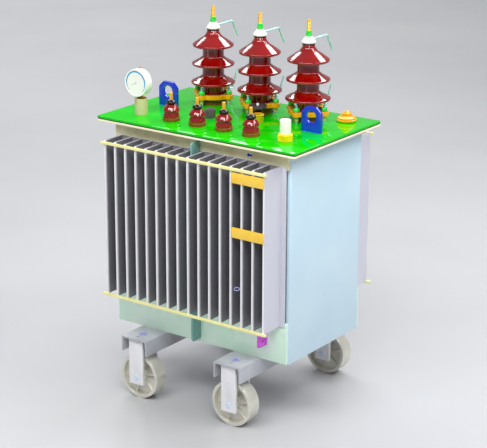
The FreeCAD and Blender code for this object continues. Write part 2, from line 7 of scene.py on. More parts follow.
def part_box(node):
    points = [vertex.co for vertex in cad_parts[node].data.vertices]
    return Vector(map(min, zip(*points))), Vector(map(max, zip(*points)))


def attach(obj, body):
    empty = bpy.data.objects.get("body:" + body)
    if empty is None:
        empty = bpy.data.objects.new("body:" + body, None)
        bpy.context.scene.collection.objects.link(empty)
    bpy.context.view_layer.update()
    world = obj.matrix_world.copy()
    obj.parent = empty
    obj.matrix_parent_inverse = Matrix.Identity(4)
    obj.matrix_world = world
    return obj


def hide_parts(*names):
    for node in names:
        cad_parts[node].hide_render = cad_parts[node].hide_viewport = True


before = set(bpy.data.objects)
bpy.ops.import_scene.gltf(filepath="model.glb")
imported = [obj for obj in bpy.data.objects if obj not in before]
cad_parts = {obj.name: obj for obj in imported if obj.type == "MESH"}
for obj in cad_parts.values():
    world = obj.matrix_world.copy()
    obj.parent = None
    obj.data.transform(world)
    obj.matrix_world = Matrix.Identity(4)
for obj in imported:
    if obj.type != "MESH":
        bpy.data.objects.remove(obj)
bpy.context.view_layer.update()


# --- End panels -------------------------------------------------------------------------
# The two narrow sides of the tank: 5 mm steel plates whose edges are folded round the
# corners and welded to the bands. Rolled sheet, sprayed with pale blue satin enamel.

def linear(text):
    """An sRGB hex colour as the linear colour that shaders use."""
    parts = [int(text[place:place + 2], 16) / 255 for place in (1, 3, 5)]
    return [c / 12.92 if c <= 0.04045 else ((c + 0.055) / 1.055) ** 2.4 for c in parts] + [1.0]


def add(tree, kind, settings, links):
    """Add one shader node, give it its settings and link its inputs."""
    made = tree.nodes.new("ShaderNode" + kind)
    for word, value in settings.items():
        if word == "stops":
            for place, (spot, colour) in enumerate(value):
                if place > 1:
                    made.color_ramp.elements.new(spot)
                made.color_ramp.elements[place].position = spot
                made.color_ramp.elements[place].color = linear(colour)
        elif isinstance(word, int) or word in made.inputs:
            made.inputs[word].default_value = value
        else:
            setattr(made, word, value)
    for word, (source, output) in links.items():
        tree.links.new(source.outputs[output], made.inputs[word])
    return made


def coated(name, shade, patch, patch_mm, peel_mm, peel, rough, extra=None):
    """A sprayed, glazed or moulded skin: two close shades in soft patches, a rippled
    surface of the given grain, and a gloss that varies a little from place to place."""
    look = bpy.data.materials.new(name)
    look.use_nodes = True
    tree = look.node_tree
    shader = tree.nodes["Principled BSDF"]
    place = add(tree, "TexCoord", {}, {})
    blotch = add(tree, "TexNoise", {"Scale": 1000 / patch_mm, "Detail": 4.0},
                 {"Vector": (place, "Object")})
    shades = add(tree, "ValToRGB", {"stops": [(0.36, shade), (0.64, patch)]},
                 {"Fac": (blotch, "Fac")})
    grain = add(tree, "TexNoise", {"Scale": 1000 / peel_mm, "Detail": 2.0},
                {"Vector": (place, "Object")})
    relief = add(tree, "Bump", {"Strength": peel, "Distance": 0.001}, {"Height": (grain, "Fac")})
    gloss = add(tree, "MapRange", {"To Min": rough[0], "To Max": rough[1]},
                {"Value": (blotch, "Fac")})
    tree.links.new(shades.outputs["Color"], shader.inputs["Base Color"])
    tree.links.new(relief.outputs["Normal"], shader.inputs["Normal"])
    tree.links.new(gloss.outputs["Result"], shader.inputs["Roughness"])
    for word, value in (extra or {}).items():
        shader.inputs[word].default_value = value
    return look


def span(node):
    """The lowest and highest corner of a CAD node in millimetres."""
    low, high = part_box(node)
    return low * 1000, high * 1000


def make(name, shape, look, replaced=(), body="transformer"):
    """Turn a shape drawn in millimetres into a piece that rides on a body."""
    shape.transform(Matrix.Scale(0.001, 4))
    bmesh.ops.recalc_face_normals(shape, faces=shape.faces)
    mesh = bpy.data.meshes.new(name)
    shape.to_mesh(mesh)
    shape.free()
    mesh.shade_smooth()
    mesh.set_sharp_from_angle(angle=math.radians(38))
    mesh.materials.append(look)
    piece = bpy.data.objects.new(name, mesh)
    bpy.context.scene.collection.objects.link(piece)
    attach(piece, body)
    if replaced:
        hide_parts(*replaced)
    return piece


def on_cover(node):
    """The middle of a fitting's foot on the cover and the fitting's height."""
    low, high = span(node)
    return Vector(((low.x + high.x) / 2, (low.y + high.y) / 2, cover)), high.z - cover


def soften(corners, closed=True, steps=4):
    """Round the corners of a flat outline; each corner is (across, up, radius)."""
    points = []
    for index, (across, up, radius) in enumerate(corners):
        here = Vector((across, up))
        if not radius or (not closed and index in (0, len(corners) - 1)):
            points.append(here)
            continue
        before = Vector(corners[index - 1][:2]) - here
        after = Vector(corners[(index + 1) % len(corners)][:2]) - here
        reach = radius / math.tan(before.angle(after) / 2)
        reach = min(reach, before.length * 0.49, after.length * 0.49)
        start = here + before.normalized() * reach
        stop = here + after.normalized() * reach
        for step in range(steps + 1):
            t = step / steps
            points.append(start * (1 - t) ** 2 + here * 2 * t * (1 - t) + stop * t * t)
    return points


def oblong(left, foot, right, head, radius):
    """A rectangle's outline with rounded corners."""
    return soften([(left, foot, radius), (right, foot, radius), (right, head, radius),
                   (left, head, radius)])


def circle(radius, count, across=0.0, up=0.0):
    """A round hole's outline."""
    turns = [math.tau * step / count for step in range(count)]
    return [(across + radius * math.cos(turn), up + radius * math.sin(turn)) for turn in turns]


def join(shape, part, turn):
    """Add a part to a shape after turning and moving it."""
    part.transform(turn)
    mesh = bpy.data.meshes.new("part")
    part.to_mesh(mesh)
    part.free()
    shape.from_mesh(mesh)
    bpy.data.meshes.remove(mesh)


def plate(shape, loops, low, high, turn=Matrix.Identity(4), edge=1.0, steps=2):
    """Thicken a flat outline with its holes from low to high and round its edges."""
    part = bmesh.new()
    rim = []
    for loop in loops:
        corners = [part.verts.new((point[0], point[1], low)) for point in loop]
        rim += [part.edges.new((corners[k - 1], corners[k])) for k in range(len(corners))]
    bmesh.ops.triangle_fill(part, edges=rim, use_beauty=True)
    grown = bmesh.ops.extrude_face_region(part, geom=part.faces[:])["geom"]
    lifted = [item for item in grown if isinstance(item, bmesh.types.BMVert)]
    bmesh.ops.translate(part, vec=(0, 0, high - low), verts=lifted)
    bmesh.ops.recalc_face_normals(part, faces=part.faces)
    sharp = [e for e in part.edges if e.is_manifold and e.calc_face_angle() > math.radians(40)]
    if edge:
        bmesh.ops.bevel(part, geom=sharp, offset=edge, segments=steps, profile=0.5,
                        affect="EDGES", clamp_overlap=True)
    join(shape, part, turn)


def bridge(shape, rings):
    """Skin a row of rings; a ring of one point closes the skin to a tip."""
    for first, second in zip(rings, rings[1:]):
        count = max(len(first), len(second))
        for k in range(count):
            face = []
            for ring, at in ((first, k), (first, k + 1), (second, k + 1), (second, k)):
                corner = ring[at % len(ring)]
                if corner not in face:
                    face.append(corner)
            shape.faces.new(face)


def tube(shape, path, radii, sides=10):
    """A round bar along a path, with one radius or one for each point."""
    path = [Vector(point) for point in path]
    if not isinstance(radii, list):
        radii = [radii] * len(path)
    rings = []
    side = (path[1] - path[0]).orthogonal()
    for index, point in enumerate(path):
        along = path[min(index + 1, len(path) - 1)] - path[max(index - 1, 0)]
        along.normalize()
        side = (side - along * side.dot(along)).normalized()
        other = along.cross(side)
        ring = []
        for k in range(sides):
            turn = math.tau * k / sides
            out = side * math.cos(turn) + other * math.sin(turn)
            ring.append(shape.verts.new(point + out * radii[index]))
        rings.append(ring)
    bridge(shape, rings)
    shape.faces.new(rings[0])
    shape.faces.new(rings[-1])


def bead(shape, start, stop, size, ripple=5):
    """A weld bead: a half-sunk bar that swells and thins with each ripple."""
    start, stop = Vector(start), Vector(stop)
    count = 2 * max(1, int((stop - start).length / ripple))
    path = [start.lerp(stop, k / count) for k in range(count + 1)]
    tube(shape, path, [size * (1 if k % 2 else 0.8) for k in range(count + 1)], 6)


# Two ways to stand a flat outline up: facing the long sides, or facing the ends.
upright = Matrix.Rotation(math.pi / 2, 4, "X")
side_on = Matrix(((0, 0, 1, 0), (1, 0, 0, 0), (0, 1, 0, 0), (0, 0, 0, 1)))


# Satin enamel on sheet: an even pale blue with a soft sheen and faint orange peel.
blue_enamel = coated("pale_blue_satin_enamel_sprayed_on_steel_sheet", "#CBE6F5", "#D3EBF7",
                     240, 5, 0.05, (0.30, 0.38), {"IOR": 1.5})
for side, sign in (("left", -1), ("right", 1)):
    low, high = span("end_panel_" + side)
    outer = sign * max(abs(low.x), abs(high.x))
    root = sign * min(abs(low.x), abs(high.x))
    corners = [(root, low.y, 0.8), (outer, low.y, 7), (outer, high.y, 7), (root, high.y, 0.8),
               (root, high.y - 4, 0.8), (outer - 5 * sign, high.y - 4, 3),
               (outer - 5 * sign, low.y + 4, 3), (root, low.y + 4, 0.8)]
    shape = bmesh.new()
    plate(shape, [soften(corners)], low.z, high.z, edge=0.8)
    for lip in (low.y, high.y):
        bead(shape, (outer - 6 * sign, lip, low.z + 4), (outer - 6 * sign, lip, low.z + 160), 2)
        bead(shape, (outer - 6 * sign, lip, high.z - 62), (outer - 6 * sign, lip, high.z - 4), 2)
    bead(shape, (outer - 1, low.y + 12, high.z - 1), (outer - 1, high.y - 12, high.z - 1), 2)
    make("panel_" + side, shape, blue_enamel, ["end_panel_" + side])


# --- Tank shell -------------------------------------------------------------------------
# The welded steel box that holds the core, windings and oil. Only strips of it show
# between the panels, the bands and the corrugated walls. Primed and sprayed grey.
# Grey primer on mill plate: dull, slightly cloudy, with a coarse sprayed texture.
grey_primer = coated("grey_primer_sprayed_on_mill_plate", "#8E8E94", "#9A9AA0", 90, 4, 0.10,
                     (0.45, 0.60))
low, high = span("tank_body")
shape = bmesh.new()
wide, deep = high.x - 0.6, high.y - 14.4
plate(shape, [oblong(-wide, -deep, wide, deep, 6)], low.z + 0.6, high.z - 0.2)
wide, deep = high.x - 12, high.y - 0.4
plate(shape, [oblong(-wide, -deep, wide, deep, 3)], low.z + 164.4, high.z - 65.4)
for way in (-1, 1):
    bead(shape, (-390, way * (high.y - 13), low.z + 1), (390, way * (high.y - 13), low.z + 1), 3)
make("tank_shell", shape, grey_primer, ["tank_body"])


# --- Bands ------------------------------------------------------------------------------
# Flat steel strips, 10 mm thick, welded along the top and foot of both long sides: the
# corrugated walls are welded to their edges. Flame-cut strip, ground and enamelled.
# Semi-gloss khaki enamel on the top bands: it mirrors the fins in soft upright streaks.
khaki_enamel = coated("khaki_semi_gloss_enamel_on_flat_bar", "#DAD6A8", "#F4F0C6", 70, 6, 0.10,
                      (0.14, 0.24), {"IOR": 1.55, "Coat Weight": 0.5, "Coat Roughness": 0.1})
# Satin mint enamel on the bottom bands: pale and even, with a faint sheen.
mint_enamel = coated("mint_satin_enamel_on_flat_bar", "#DCFFE8", "#E8FFF0", 160, 5, 0.06,
                     (0.28, 0.36))
for node, look, slot in (("top_bands", khaki_enamel, "cream_paint"),
                         ("bottom_bands", mint_enamel, "mint_paint")):
    low, high = span(node)
    shape = bmesh.new()
    for way in (-1, 1):
        turn = Matrix.Translation((0, way * (high.y - 5), 0)) @ upright
        plate(shape, [oblong(low.x, low.z, high.x, high.z, 2)], -5, 5, turn, edge=1.2)
    make(node.replace("_bands", "_flat_bars"), shape, look, [node])
low, high = span("top_bands")
# The blue screw is a three-winged bleed plug near the right end of the front top band.
# Glossy moulded nylon: one saturated blue with a hard small highlight.
blue_nylon = coated("blue_moulded_nylon", "#0508F0", "#1014FF", 8, 2, 0.05, (0.18, 0.26))
shape = bmesh.new()
face = Matrix.Translation((234, low.y, (low.z + high.z) / 2)) @ upright
for angle, reach in ((150, 9), (210, 9), (0, 12)):
    wing = soften([(-2, -3, 1), (reach, -2.5, 2), (reach, 2.5, 2), (-2, 3, 1)])
    plate(shape, [wing], 0, 4, face @ Matrix.Rotation(math.radians(angle), 4, "Z"), edge=0.6)
make("bleed_plug", shape, blue_nylon)


# --- Corrugated walls -------------------------------------------------------------------
# One thin steel sheet per long side, pressed into a row of deep narrow fins that cool the
# oil. Each fin is a fold with a rounded nose; its ends are squeezed shut and welded.
# Grey paint with painted light and shade: noses painted almost white as lit faces, flanks painted a
# dark grey as shade inside the gaps, roots a lavender grey.
# The end flanks and the crests are painted pale as lit faces.
fin_paint_with_painted_shade = coated("corrugated_sheet_grey_paint_with_painted_shade", "#C9C9D0", "#D2D2DA", 60, 5, 0.08,
                   (0.30, 0.42))
tree = fin_paint_with_painted_shade.node_tree
place = add(tree, "TexCoord", {}, {})
parts = add(tree, "SeparateXYZ", {}, {"Vector": (place, "Object")})
depth = add(tree, "Math", {"operation": "ABSOLUTE"}, {"Value": (parts, "Y")})
# Painted shade and light by depth: 0 at the wall between the fins, 1 at the noses.
painted_shade_depth = add(tree, "MapRange", {"From Min": 0.2525, "From Max": 0.3605}, {"Value": (depth, "Value")})
# Painted light: the outer flanks of the two end fins are painted pale, with no shade from a
# neighbour.
across = add(tree, "Math", {"operation": "ABSOLUTE"}, {"Value": (parts, "X")})
painted_light_outer_flank = add(tree, "Math", {"operation": "GREATER_THAN", 1: 0.3785}, {"Value": (across, "Value")})
# Painted light: faces that turn upward, the fin crests, are painted pale as if lit from above.
surface = add(tree, "NewGeometry", {}, {})
lean = add(tree, "SeparateXYZ", {}, {"Vector": (surface, "Normal")})
painted_light_crest = add(tree, "Math", {"operation": "GREATER_THAN", 1: 0.5}, {"Value": (lean, "Z")})
painted_light_mask = add(tree, "Math", {"operation": "MAXIMUM"}, {0: (painted_light_outer_flank, "Value"), 1: (painted_light_crest, "Value")})
# Faint random paint runs mixed into the painted shade.
runs = add(tree, "TexNoise", {"Scale": 25.0, "Detail": 3.0}, {"Vector": (place, "Object")})
painted_shade_and_runs = add(tree, "Math", {"operation": "MULTIPLY_ADD", 1: 0.03},
           {"Value": (runs, "Fac"), 2: (painted_shade_depth, "Result")})
# Painted shade and light: lavender grey roots, dark grey shaded flanks, almost white lit noses.
painted_shade_tone = add(tree, "ValToRGB", {"stops": [(0.0, "#A9A7AE"), (0.03, "#8E8C94"), (0.12, "#6C6C72"),
                                        (0.90, "#7E7E84"), (0.97, "#F2F2F6")]},
           {"Fac": (painted_shade_and_runs, "Value")})
# The painted-light faces take a pale lavender over the painted shade.
painted_light_mix = add(tree, "MixRGB", {"Color2": linear("#D6D6E2")},
           {"Fac": (painted_light_mask, "Value"), "Color1": (painted_shade_tone, "Color")})
tree.links.new(painted_light_mix.outputs["Color"], tree.nodes["Principled BSDF"].inputs["Base Color"])
fin_pitch = 50
fins = [(number - 7.5) * fin_pitch for number in range(16)]
for side, way in (("front", -1), ("rear", 1)):
    low, high = span("corrugated_wall_" + side)
    back = min(abs(low.y), abs(high.y))
    tip = max(abs(low.y), abs(high.y))
    corners = [(high.x, way * back, 0.5), (low.x, way * back, 0.5),
               (low.x, way * (back + 4), 0.5)]
    for middle in fins:
        for offset, reach, radius in ((-4, back + 4, 2.5), (-4, tip, 3.9), (4, tip, 3.9),
                                      (4, back + 4, 2.5)):
            corners.append((middle + offset, way * reach, radius))
    corners.append((high.x, way * (back + 4), 0.5))
    shape = bmesh.new()
    plate(shape, [soften(corners)], low.z, high.z, edge=0.7, steps=1)
    for middle in fins:
        for level in (low.z, high.z):
            bead(shape, (middle, way * (back + 3), level), (middle, way * (tip - 4), level), 1.8)
    for level in (low.z + 1, high.z - 1):
        bead(shape, (low.x + 3, way * (back + 2), level), (high.x - 3, way * (back + 2), level), 2)
    make("fins_" + side, shape, fin_paint_with_painted_shade, ["corrugated_wall_" + side])
# The ring between the thirteenth and fourteenth fin is a test wire's eye, bent from thin
# wire. Lavender PVC sleeve on wire: smooth, soft sheen.
wire_sleeve = coated("lavender_pvc_sleeved_wire", "#A8A8EC", "#C0C0FA", 6, 1.5, 0.05, (0.3, 0.4))
shape = bmesh.new()
eye_x, eye_y, eye_z = 251, -352, 562
eye = []
for step in range(33):
    turn = math.tau * step / 32
    eye.append((eye_x + 12 * math.cos(turn), eye_y, eye_z + 7 * math.sin(turn + 0.35)))
tube(shape, eye, 1.6, 8)
tube(shape, [(eye_x + 12, eye_y, eye_z + 2), (eye_x + 20, eye_y, eye_z + 2)], 1.6, 8)
make("test_eye", shape, wire_sleeve)


# --- Fin bars ---------------------------------------------------------------------------
# Flat bars across the fins' noses near the top and foot of each wall, tacked to each fin
# so that the fins can't spread under oil pressure. Drawn bar, pale yellow enamel.
# Satin yellow enamel: pale and warm, brighter along the rounded edges.
yellow_enamel = coated("pale_yellow_satin_enamel_on_drawn_bar", "#F6F0A4", "#FFFCB8", 50, 5, 0.06,
                       (0.30, 0.40))
low, high = span("fin_bars")
shape = bmesh.new()
for way in (-1, 1):
    for bottom, cut in ((low.z + 1, 3), (high.z - 11, 8)):
        turn = Matrix.Translation((0, way * (high.y - 4), 0)) @ upright
        strip = oblong(low.x + cut, bottom, high.x - cut, bottom + 10, 2)
        plate(shape, [strip], -4, 4, turn, edge=1.5)
        for middle in fins:
            for level in (bottom + 1, bottom + 9):
                y = way * (high.y - 8)
                bead(shape, (middle - 4, y, level), (middle + 4, y, level), 1.8, 3)
make("nose_bars", shape, yellow_enamel, ["fin_bars"])


# --- Centre braces ----------------------------------------------------------------------
# A 7 mm plate on edge up the middle of each long side, notched over the bands and sheet
# and welded to them. Flame-cut plate with clipped corners, teal enamel.
# Satin teal enamel: muted green-blue, a lighter line where the cut edge is rounded.
teal_enamel = coated("teal_satin_enamel_on_flame_cut_plate", "#7BADA4", "#8EC0B6", 60, 4, 0.08,
                     (0.25, 0.36))
low, high = span("centre_braces")
shape = bmesh.new()
for way in (-1, 1):
    back, wall, edge = way * 250, way * 254, way * high.y
    shy = edge - 8 * way
    outline = [(back, low.z, 1), (shy, low.z, 4), (edge, low.z + 8, 4), (edge, high.z - 8, 4),
               (shy, high.z, 4), (back, high.z, 1), (back, 1035, 0), (wall, 1035, 0),
               (wall, 411, 0), (back, 411, 0)]
    plate(shape, [soften(outline)], low.x, high.x, side_on, edge=0.8)
    for x in (low.x, high.x):
        bead(shape, (x, back + way, low.z + 6), (x, back + way, 408), 2.2)
        bead(shape, (x, back + way, 1038), (x, back + way, high.z - 6), 2.2)
make("stiffeners", shape, teal_enamel, ["centre_braces"])


# --- Name-plate straps ------------------------------------------------------------------
# Two thin strips tacked across the last three fins of the front to carry a rating plate;
# the plate itself is left off. Sheared strip, amber enamel.
# Gloss amber enamel: strong warm orange-yellow with a clear soft reflection.
amber_enamel = coated("amber_gloss_enamel_on_sheared_strip", "#FFCE44", "#FFD858", 40, 4, 0.05,
                      (0.20, 0.30))
low, high = span("nameplate_straps")
shape = bmesh.new()
strap_high = 40
for bottom in (low.z, high.z - strap_high):
    strip = oblong(low.x + 9, bottom, high.x, bottom + strap_high, 2)
    plate(shape, [strip], -high.y, -low.y, upright, edge=0.8)
    for middle in fins[13:]:
        for level in (bottom, bottom + strap_high):
            bead(shape, (middle - 4, high.y, level), (middle + 4, high.y, level), 1.6, 3)
make("rating_plate_straps", shape, amber_enamel, ["nameplate_straps"])


# --- Earth lug --------------------------------------------------------------------------
# A small drilled plate welded on edge low on the front, for the earthing bolt. Cut from
# 10 mm flat, enamelled magenta so that it is easy to find.
# Gloss magenta enamel: saturated pink-violet, small sharp highlight on the edges.
magenta_enamel = coated("magenta_gloss_enamel_on_cut_flat", "#E050E4", "#F260F4", 20, 3, 0.05,
                        (0.22, 0.30))
low, high = span("earth_lug")
middle_y, middle_z = (low.y + high.y) / 2, (low.z + high.z) / 2
hole = circle(8.5, 24, middle_y, middle_z)
shape = bmesh.new()
outline = [(high.y, low.z, 0), (high.y, high.z, 0), (low.y, high.z, 8), (low.y, low.z, 8)]
plate(shape, [soften(outline), hole], low.x, high.x, side_on, edge=0.8)
for x in (low.x, high.x):
    bead(shape, (x, high.y, low.z + 2), (x, high.y, high.z - 2), 2.4, 4)
make("earthing_plate", shape, magenta_enamel, ["earth_lug"])


# --- Flange, gasket and cover -----------------------------------------------------------
# The steel frame round the tank's mouth, the rubber gasket on it and the 8 mm cover plate
# that closes the tank. The flange is welded to the tank; the rest is laid and clamped.
# Satin cream enamel on the flange: a pale warm line with soft shading.
cream_enamel = coated("cream_satin_enamel_on_flat_bar", "#FFFAD2", "#FFFFE2", 80, 5, 0.05,
                      (0.30, 0.40))
# Moulded nitrile rubber: black, dull, slightly grainy.
nitrile = coated("moulded_nitrile_rubber_sheet", "#0A0A0A", "#161616", 12, 2, 0.30, (0.60, 0.75))
# Poured gloss enamel on plate: saturated green, wet-looking, mirrors what stands on it.
green_gloss = coated("green_high_gloss_enamel_on_steel_plate", "#00BE00", "#00CC00", 260, 30,
                     0.012, (0.03, 0.06), {"IOR": 1.5})
low, high = span("tank_flange")
shape = bmesh.new()
plate(shape, [oblong(low.x, low.y, high.x, high.y, 7)], low.z, high.z, edge=1.0)
for way in (-1, 1):
    bead(shape, (-404, way * 250.5, low.z), (404, way * 250.5, low.z), 3)
    bead(shape, (way * 414.5, -236, low.z), (way * 414.5, 236, low.z), 3)
make("mouth_flange", shape, cream_enamel, ["tank_flange"])
low, high = span("cover_gasket")
wide, deep = high.x - 1.2, high.y - 1.2
shape = bmesh.new()
plate(shape, [oblong(-wide, -deep, wide, deep, 6)], low.z, high.z, edge=1.2)
make("cover_seal", shape, nitrile, ["cover_gasket"])
low, high = span("cover_plate")
cover = high.z
shape = bmesh.new()
plate(shape, [oblong(low.x, low.y, high.x, high.y, 8)], low.z, high.z, edge=1.4, steps=3)
make("lid", shape, green_gloss, ["cover_plate"])


# --- Lifting lugs -----------------------------------------------------------------------
# Two flame-cut 12 mm plates with clipped top corners and a shackle hole, fillet-welded
# upright to the cover. Gloss blue enamel.
# Gloss enamel: deep pure blue that turns violet-white where the light glances off.
deep_blue = coated("deep_blue_gloss_enamel_on_flame_cut_plate", "#0A30C4", "#0C3AD6", 60, 5, 0.05,
                   (0.10, 0.18), {"IOR": 1.6, "Coat Weight": 0.6, "Coat Roughness": 0.06})
low, high = span("lifting_lugs")
shape = bmesh.new()
half, clip = 44.5, 22
hole = circle(23, 40, up=cover + 58)
for way in (-1, 1):
    middle = way * (high.x - half)
    outline = [(-half, cover, 0), (half, cover, 0), (half, high.z - clip, 9),
               (half - clip, high.z, 9), (clip - half, high.z, 9), (-half, high.z - clip, 9)]
    turn = Matrix.Translation((middle, 0, 0)) @ upright
    plate(shape, [soften(outline), hole], low.y, high.y, turn, edge=1.6)
    for y in (low.y, high.y):
        bead(shape, (middle - 42, y, cover), (middle + 42, y, cover), 3)
make("lug_plates", shape, deep_blue, ["lifting_lugs"])


# --- Chassis channels -------------------------------------------------------------------
# Two rolled steel channels, open side down, welded under the tank from front to back.
# Each end is drilled for its fork's pivot and for a small locking pin beside it.
def lathe(shape, profile, centre, turn=Matrix.Identity(3), count=48, closed=False):
    """Turn a profile of (radius, height) about an axis that passes through centre."""
    rings = []
    for radius, height in profile:
        number = count if radius > 0.001 else 1
        ring = []
        for k in range(number):
            angle = math.tau * k / number
            spot = Vector((radius * math.cos(angle), radius * math.sin(angle), height))
            ring.append(shape.verts.new(centre + turn @ spot))
        rings.append(ring)
    if closed:
        rings.append(rings[0])
    bridge(shape, rings)


def turned(shape, steps, centre, **more):
    """Turn a profile that starts and ends on its axis, with its corners rounded."""
    lathe(shape, soften(steps, closed=False), centre, **more)


def drill(piece, holes):
    """Cut upright round holes through a piece; each is (x, y, low, high, radius)."""
    bits = bmesh.new()
    for x, y, bottom, top, radius in holes:
        lathe(bits, [(0, bottom), (radius, bottom), (radius, top), (0, top)], Vector((x, y, 0)))
    bits.transform(Matrix.Scale(0.001, 4))
    bmesh.ops.recalc_face_normals(bits, faces=bits.faces)
    mesh = bpy.data.meshes.new("bits")
    bits.to_mesh(mesh)
    bits.free()
    tool = bpy.data.objects.new("bits", mesh)
    bpy.context.scene.collection.objects.link(tool)
    cut = piece.modifiers.new("holes", "BOOLEAN")
    cut.object = tool
    cut.solver = "EXACT"
    view = bpy.context.evaluated_depsgraph_get()
    drilled = bpy.data.meshes.new_from_object(piece.evaluated_get(view))
    piece.modifiers.clear()
    piece.data = drilled
    drilled.set_sharp_from_angle(angle=math.radians(38))
    bpy.data.objects.remove(tool)


# Hot-rolled steel under thin grey enamel: cool grey, a broad soft sheen, fine pitting.
grey_enamel = coated("grey_satin_enamel_on_hot_rolled_channel", "#B4B6BA", "#C4C6CE", 90, 3, 0.12,
                     (0.32, 0.44))
pivot_y, pin_y = 324, 357
centres = []
for side in ("left", "right"):
    low, high = span("chassis_channel_" + side)
    middle = (low.x + high.x) / 2
    centres.append(middle)
    outline = [(low.x, high.z, 2.5), (high.x, high.z, 2.5), (high.x, low.z, 1),
               (high.x - 7, low.z, 3), (high.x - 7, high.z - 7, 10), (low.x + 7, high.z - 7, 10),
               (low.x + 7, low.z, 3), (low.x, low.z, 1)]
    shape = bmesh.new()
    plate(shape, [soften(outline)], low.y, high.y, upright, edge=0.8)
    for x in (low.x + 4, high.x - 4):
        bead(shape, (x, -238, high.z), (x, 238, high.z), 2.5)
    rail = make("rail_" + side, shape, grey_enamel, ["chassis_channel_" + side])
    drill(rail, [(middle, way * y, high.z - 30, high.z + 9, radius)
                 for y, radius in ((pivot_y, 10), (pin_y, 4.5)) for way in (-1, 1)])
# Zinc-plated washers at the pivots: pale lavender-blue, soft metallic sheen.
low, high = span("pivot_collars")
blue_zinc = coated("lavender_passivated_zinc_plate", "#AEB0F2", "#C6C8FF", 8, 1.5, 0.05,
                   (0.26, 0.36), {"Metallic": 0.3})
shape = bmesh.new()
for middle in centres:
    for y in (-pivot_y, pivot_y):
        section = soften([(10, low.z, 0.2), (17, low.z, 0.3), (17, high.z, 1), (10, high.z, 1)])
        lathe(shape, section, Vector((middle, y, 0)), closed=True)
make("pivot_washers", shape, blue_zinc, ["pivot_collars"])


# --- Forks and axles --------------------------------------------------------------------
# Each roller hangs in a fork bent from 67 by 12 mm flat bar, bolted under the channel. A
# plain 25 mm bar through both legs is the axle. Bar sprayed white; the axle is turned.
# White enamel on bar: bright, smooth, almost flat, with a slight grey in its sheen.
white_enamel = coated("white_satin_enamel_on_bent_flat_bar", "#F1F1F5", "#F8F8FB", 70, 5, 0.05,
                      (0.30, 0.40))
low, high = span("roller_forks")
leg_low, leg_top = low.z, high.z
axle_low, axle_high = span("roller_axles")
axle_z = (axle_low.z + axle_high.z) / 2
half = 33.5
shape = bmesh.new()
for middle in centres:
    for way in (-1, 1):
        y = way * pivot_y
        for leg in (-42, 42):
            flat = oblong(-half, leg_low, half, leg_top - 1, 2)
            turn = Matrix.Translation((middle, y + leg, 0)) @ upright
            plate(shape, [flat, circle(12.6, 32, up=axle_z)], -6, 6, turn, edge=1.2)
        plate(shape, [oblong(-half, -46, half, 46, 1), circle(10, 24)], leg_top - 12, leg_top,
              Matrix.Translation((middle, y, 0)), edge=0.8)
make("bent_forks", shape, white_enamel, ["roller_forks"])
# Turned bright bar with a pale blue lacquer: fine rings round each end, soft metal shine.
blue_bar = coated("pale_blue_lacquer_on_turned_bright_bar", "#D9ECFA", "#E6F5FF", 12, 1.5, 0.06,
                  (0.24, 0.34), {"Metallic": 0.15})
tree = blue_bar.node_tree
place = add(tree, "TexCoord", {}, {})
lay = add(tree, "TexWave", {"wave_type": "BANDS", "bands_direction": "Y", "Scale": 160.0,
                            "Distortion": 0.4}, {"Vector": (place, "Object")})
ridge = add(tree, "Bump", {"Strength": 0.15, "Distance": 0.0005}, {"Height": (lay, "Fac")})
tree.links.new(ridge.outputs["Normal"], tree.nodes["Principled BSDF"].inputs["Coat Normal"])
shape = bmesh.new()
half = axle_high.y - pivot_y
facing = Matrix.Rotation(math.pi / 2, 3, "X")
for middle in centres:
    for y in (-pivot_y, pivot_y):
        section = soften([(0, -half, 0), (2.2, -half + 2.2, 0), (3.4, -half, 0.4),
                          (12.5, -half, 1.2), (12.5, half, 1.2), (3.4, half, 0.4),
                          (2.2, half - 2.2, 0), (0, half, 0)], closed=False)
        section[0] = Vector((0, -half + 2.2))
        section[-1] = Vector((0, half - 2.2))
        lathe(shape, section, Vector((middle, y, axle_z)), facing, 40)
make("axle_bars", shape, blue_bar, ["roller_axles"])


# --- Rollers ----------------------------------------------------------------------------
# Four cast-iron rollers, machined on the tread and rim faces: hub, thin dished web with
# cast ribs on both sides, and a deep rim. Each turns on its axle between the fork's legs.
# Cast iron under clear lacquer: warm pale grey faces, greener duller tread and recesses.
cast_iron = coated("lacquered_grey_cast_iron_machined_tread", "#DEDCD0", "#E8E6DA", 60, 2.5, 0.05,
                   (0.16, 0.26), {"Metallic": 0.35})
for place_y in ("front", "rear"):
    for side in ("left", "right"):
        low, high = span("roller_%s_%s" % (place_y, side))
        centre = (low + high) / 2
        big = (high.z - low.z) / 2
        section = soften([(12.55, 31, 1), (25, 31, 2), (27, 8, 5), (46, 6, 10), (big - 15, 8, 6),
                          (big - 13, 30, 1.5), (big, 30, 2.5), (big, -30, 2.5),
                          (big - 13, -30, 1.5), (big - 15, -8, 6), (46, -6, 10), (27, -8, 5),
                          (25, -31, 2), (12.55, -31, 1)])
        shape = bmesh.new()
        lathe(shape, section, centre, facing, 72, closed=True)
        for rib in range(6):
            angle = Matrix.Rotation(math.tau * rib / 6 + 0.3, 4, "Y")
            turn = Matrix.Translation(centre) @ angle @ side_on
            for face in (-1, 1):
                outline = [(face * 5, 24, 0), (face * 17, 24, 3), (face * 13, big - 13, 3),
                           (face * 5, big - 13, 0)]
                plate(shape, [soften(outline)], -2.5, 2.5, turn, edge=1.2)
        name = "roller_%s_%s" % (place_y, side)
        make("cast_" + name, shape, cast_iron, [name], name + "_body")


